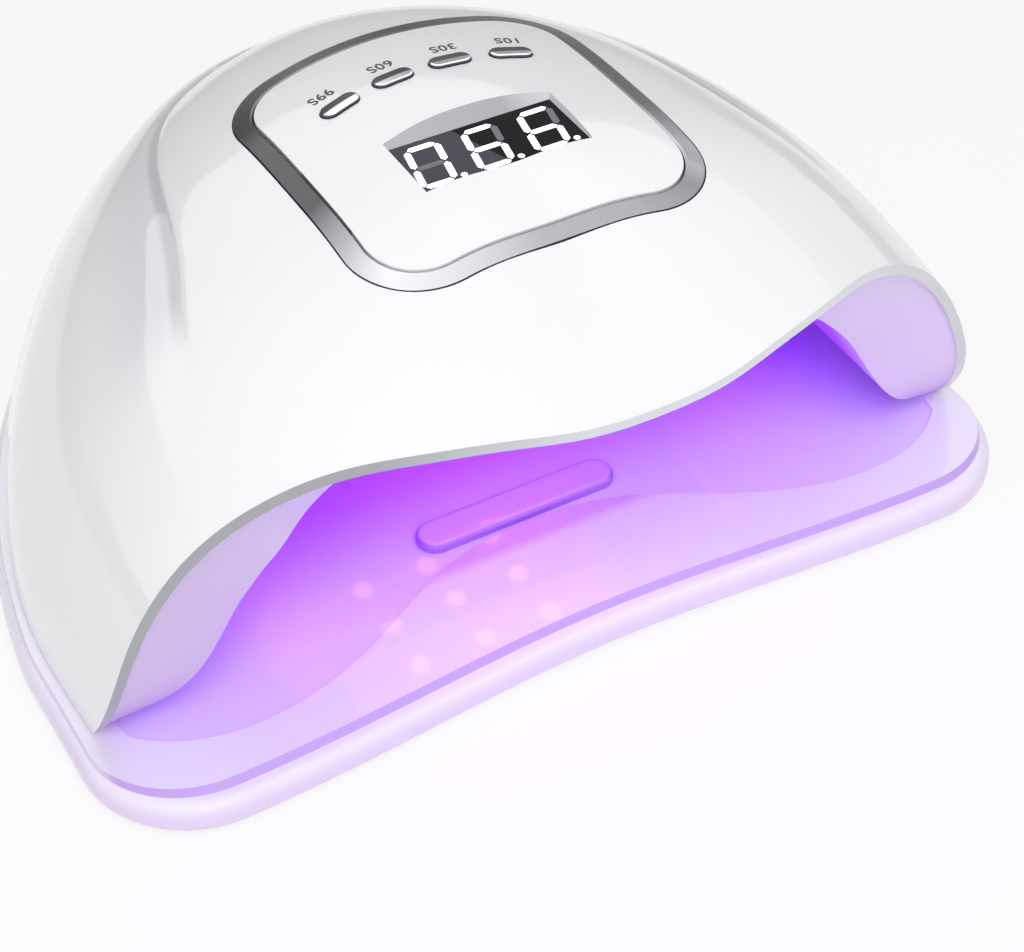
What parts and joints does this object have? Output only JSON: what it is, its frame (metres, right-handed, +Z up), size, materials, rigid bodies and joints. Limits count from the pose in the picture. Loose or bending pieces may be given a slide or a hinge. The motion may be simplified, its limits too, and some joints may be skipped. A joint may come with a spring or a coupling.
{
  "type": "nail lamp",
  "caption": "White domed nail lamp on a lift-off tray, with a chrome-ringed panel, a display window and sprung time buttons.",
  "frame": {"origin": "bottom centre of the bounding box, on the table under the tray", "axes": "+Z up, -Y towards the hand opening, +X to the right seen from the opening"},
  "size_m": [0.2358, 0.209, 0.107],
  "materials": {
    "shell_white": "polished moulding",
    "liner_white": "satin moulding",
    "tray_white": "satin gloss moulding",
    "ring_chrome": "dark bright plating",
    "button_chrome": "bright plating",
    "window_black": "tinted window",
    "module_grey": "moulded",
    "board_green": "solder mask",
    "bead_lens": "clear lens",
    "plate_metal": "rolled",
    "steel": "plated",
    "rubber_grey": "matte",
    "socket_black": "moulded",
    "pin_brass": "turned"
  },
  "bodies": {
    "tray": {"tray_plate": "tray_white", "tray_feet": "rubber_grey", "tray_magnets": "steel"},
    "lamp": {"outer_shell": "shell_white", "front_fascia": "liner_white", "inner_liner": "liner_white", "bottom_plate": "liner_white", "plate_screws": "steel", "lamp_pads": "rubber_grey", "lamp_magnets": "steel", "power_socket": "socket_black", "socket_pin": "pin_brass", "trim_ring": "ring_chrome", "control_panel": "shell_white", "panel_frame": "liner_white", "display_window": "window_black", "display_module": "module_grey", "control_board": "board_green", "board_screws": "steel", "tact_switches": "module_grey", "led_beads": "bead_lens", "led_board": "board_green", "heat_plate": "plate_metal"},
    "key_99s": {"button_99s": "button_chrome"},
    "key_60s": {"button_60s": "button_chrome"},
    "key_30s": {"button_30s": "button_chrome"},
    "key_10s": {"button_10s": "button_chrome"}
  },
  "joints": [
    {"name": "lamp_lift", "type": "slide", "parent": "tray", "child": "lamp", "axis": [0, 0, 1], "range_m": [0, 0.12]},
    {"name": "press_99s", "type": "slide", "parent": "lamp", "child": "key_99s", "axis": [0, 0, -1], "range_m": [0, 0.0006], "stiffness_N_per_m": 900},
    {"name": "press_60s", "type": "slide", "parent": "lamp", "child": "key_60s", "axis": [0, 0, -1], "range_m": [0, 0.0006], "stiffness_N_per_m": 900},
    {"name": "press_30s", "type": "slide", "parent": "lamp", "child": "key_30s", "axis": [0, 0, -1], "range_m": [0, 0.0006], "stiffness_N_per_m": 900},
    {"name": "press_10s", "type": "slide", "parent": "lamp", "child": "key_10s", "axis": [0, 0, -1], "range_m": [0, 0.0006], "stiffness_N_per_m": 900}
  ]
}
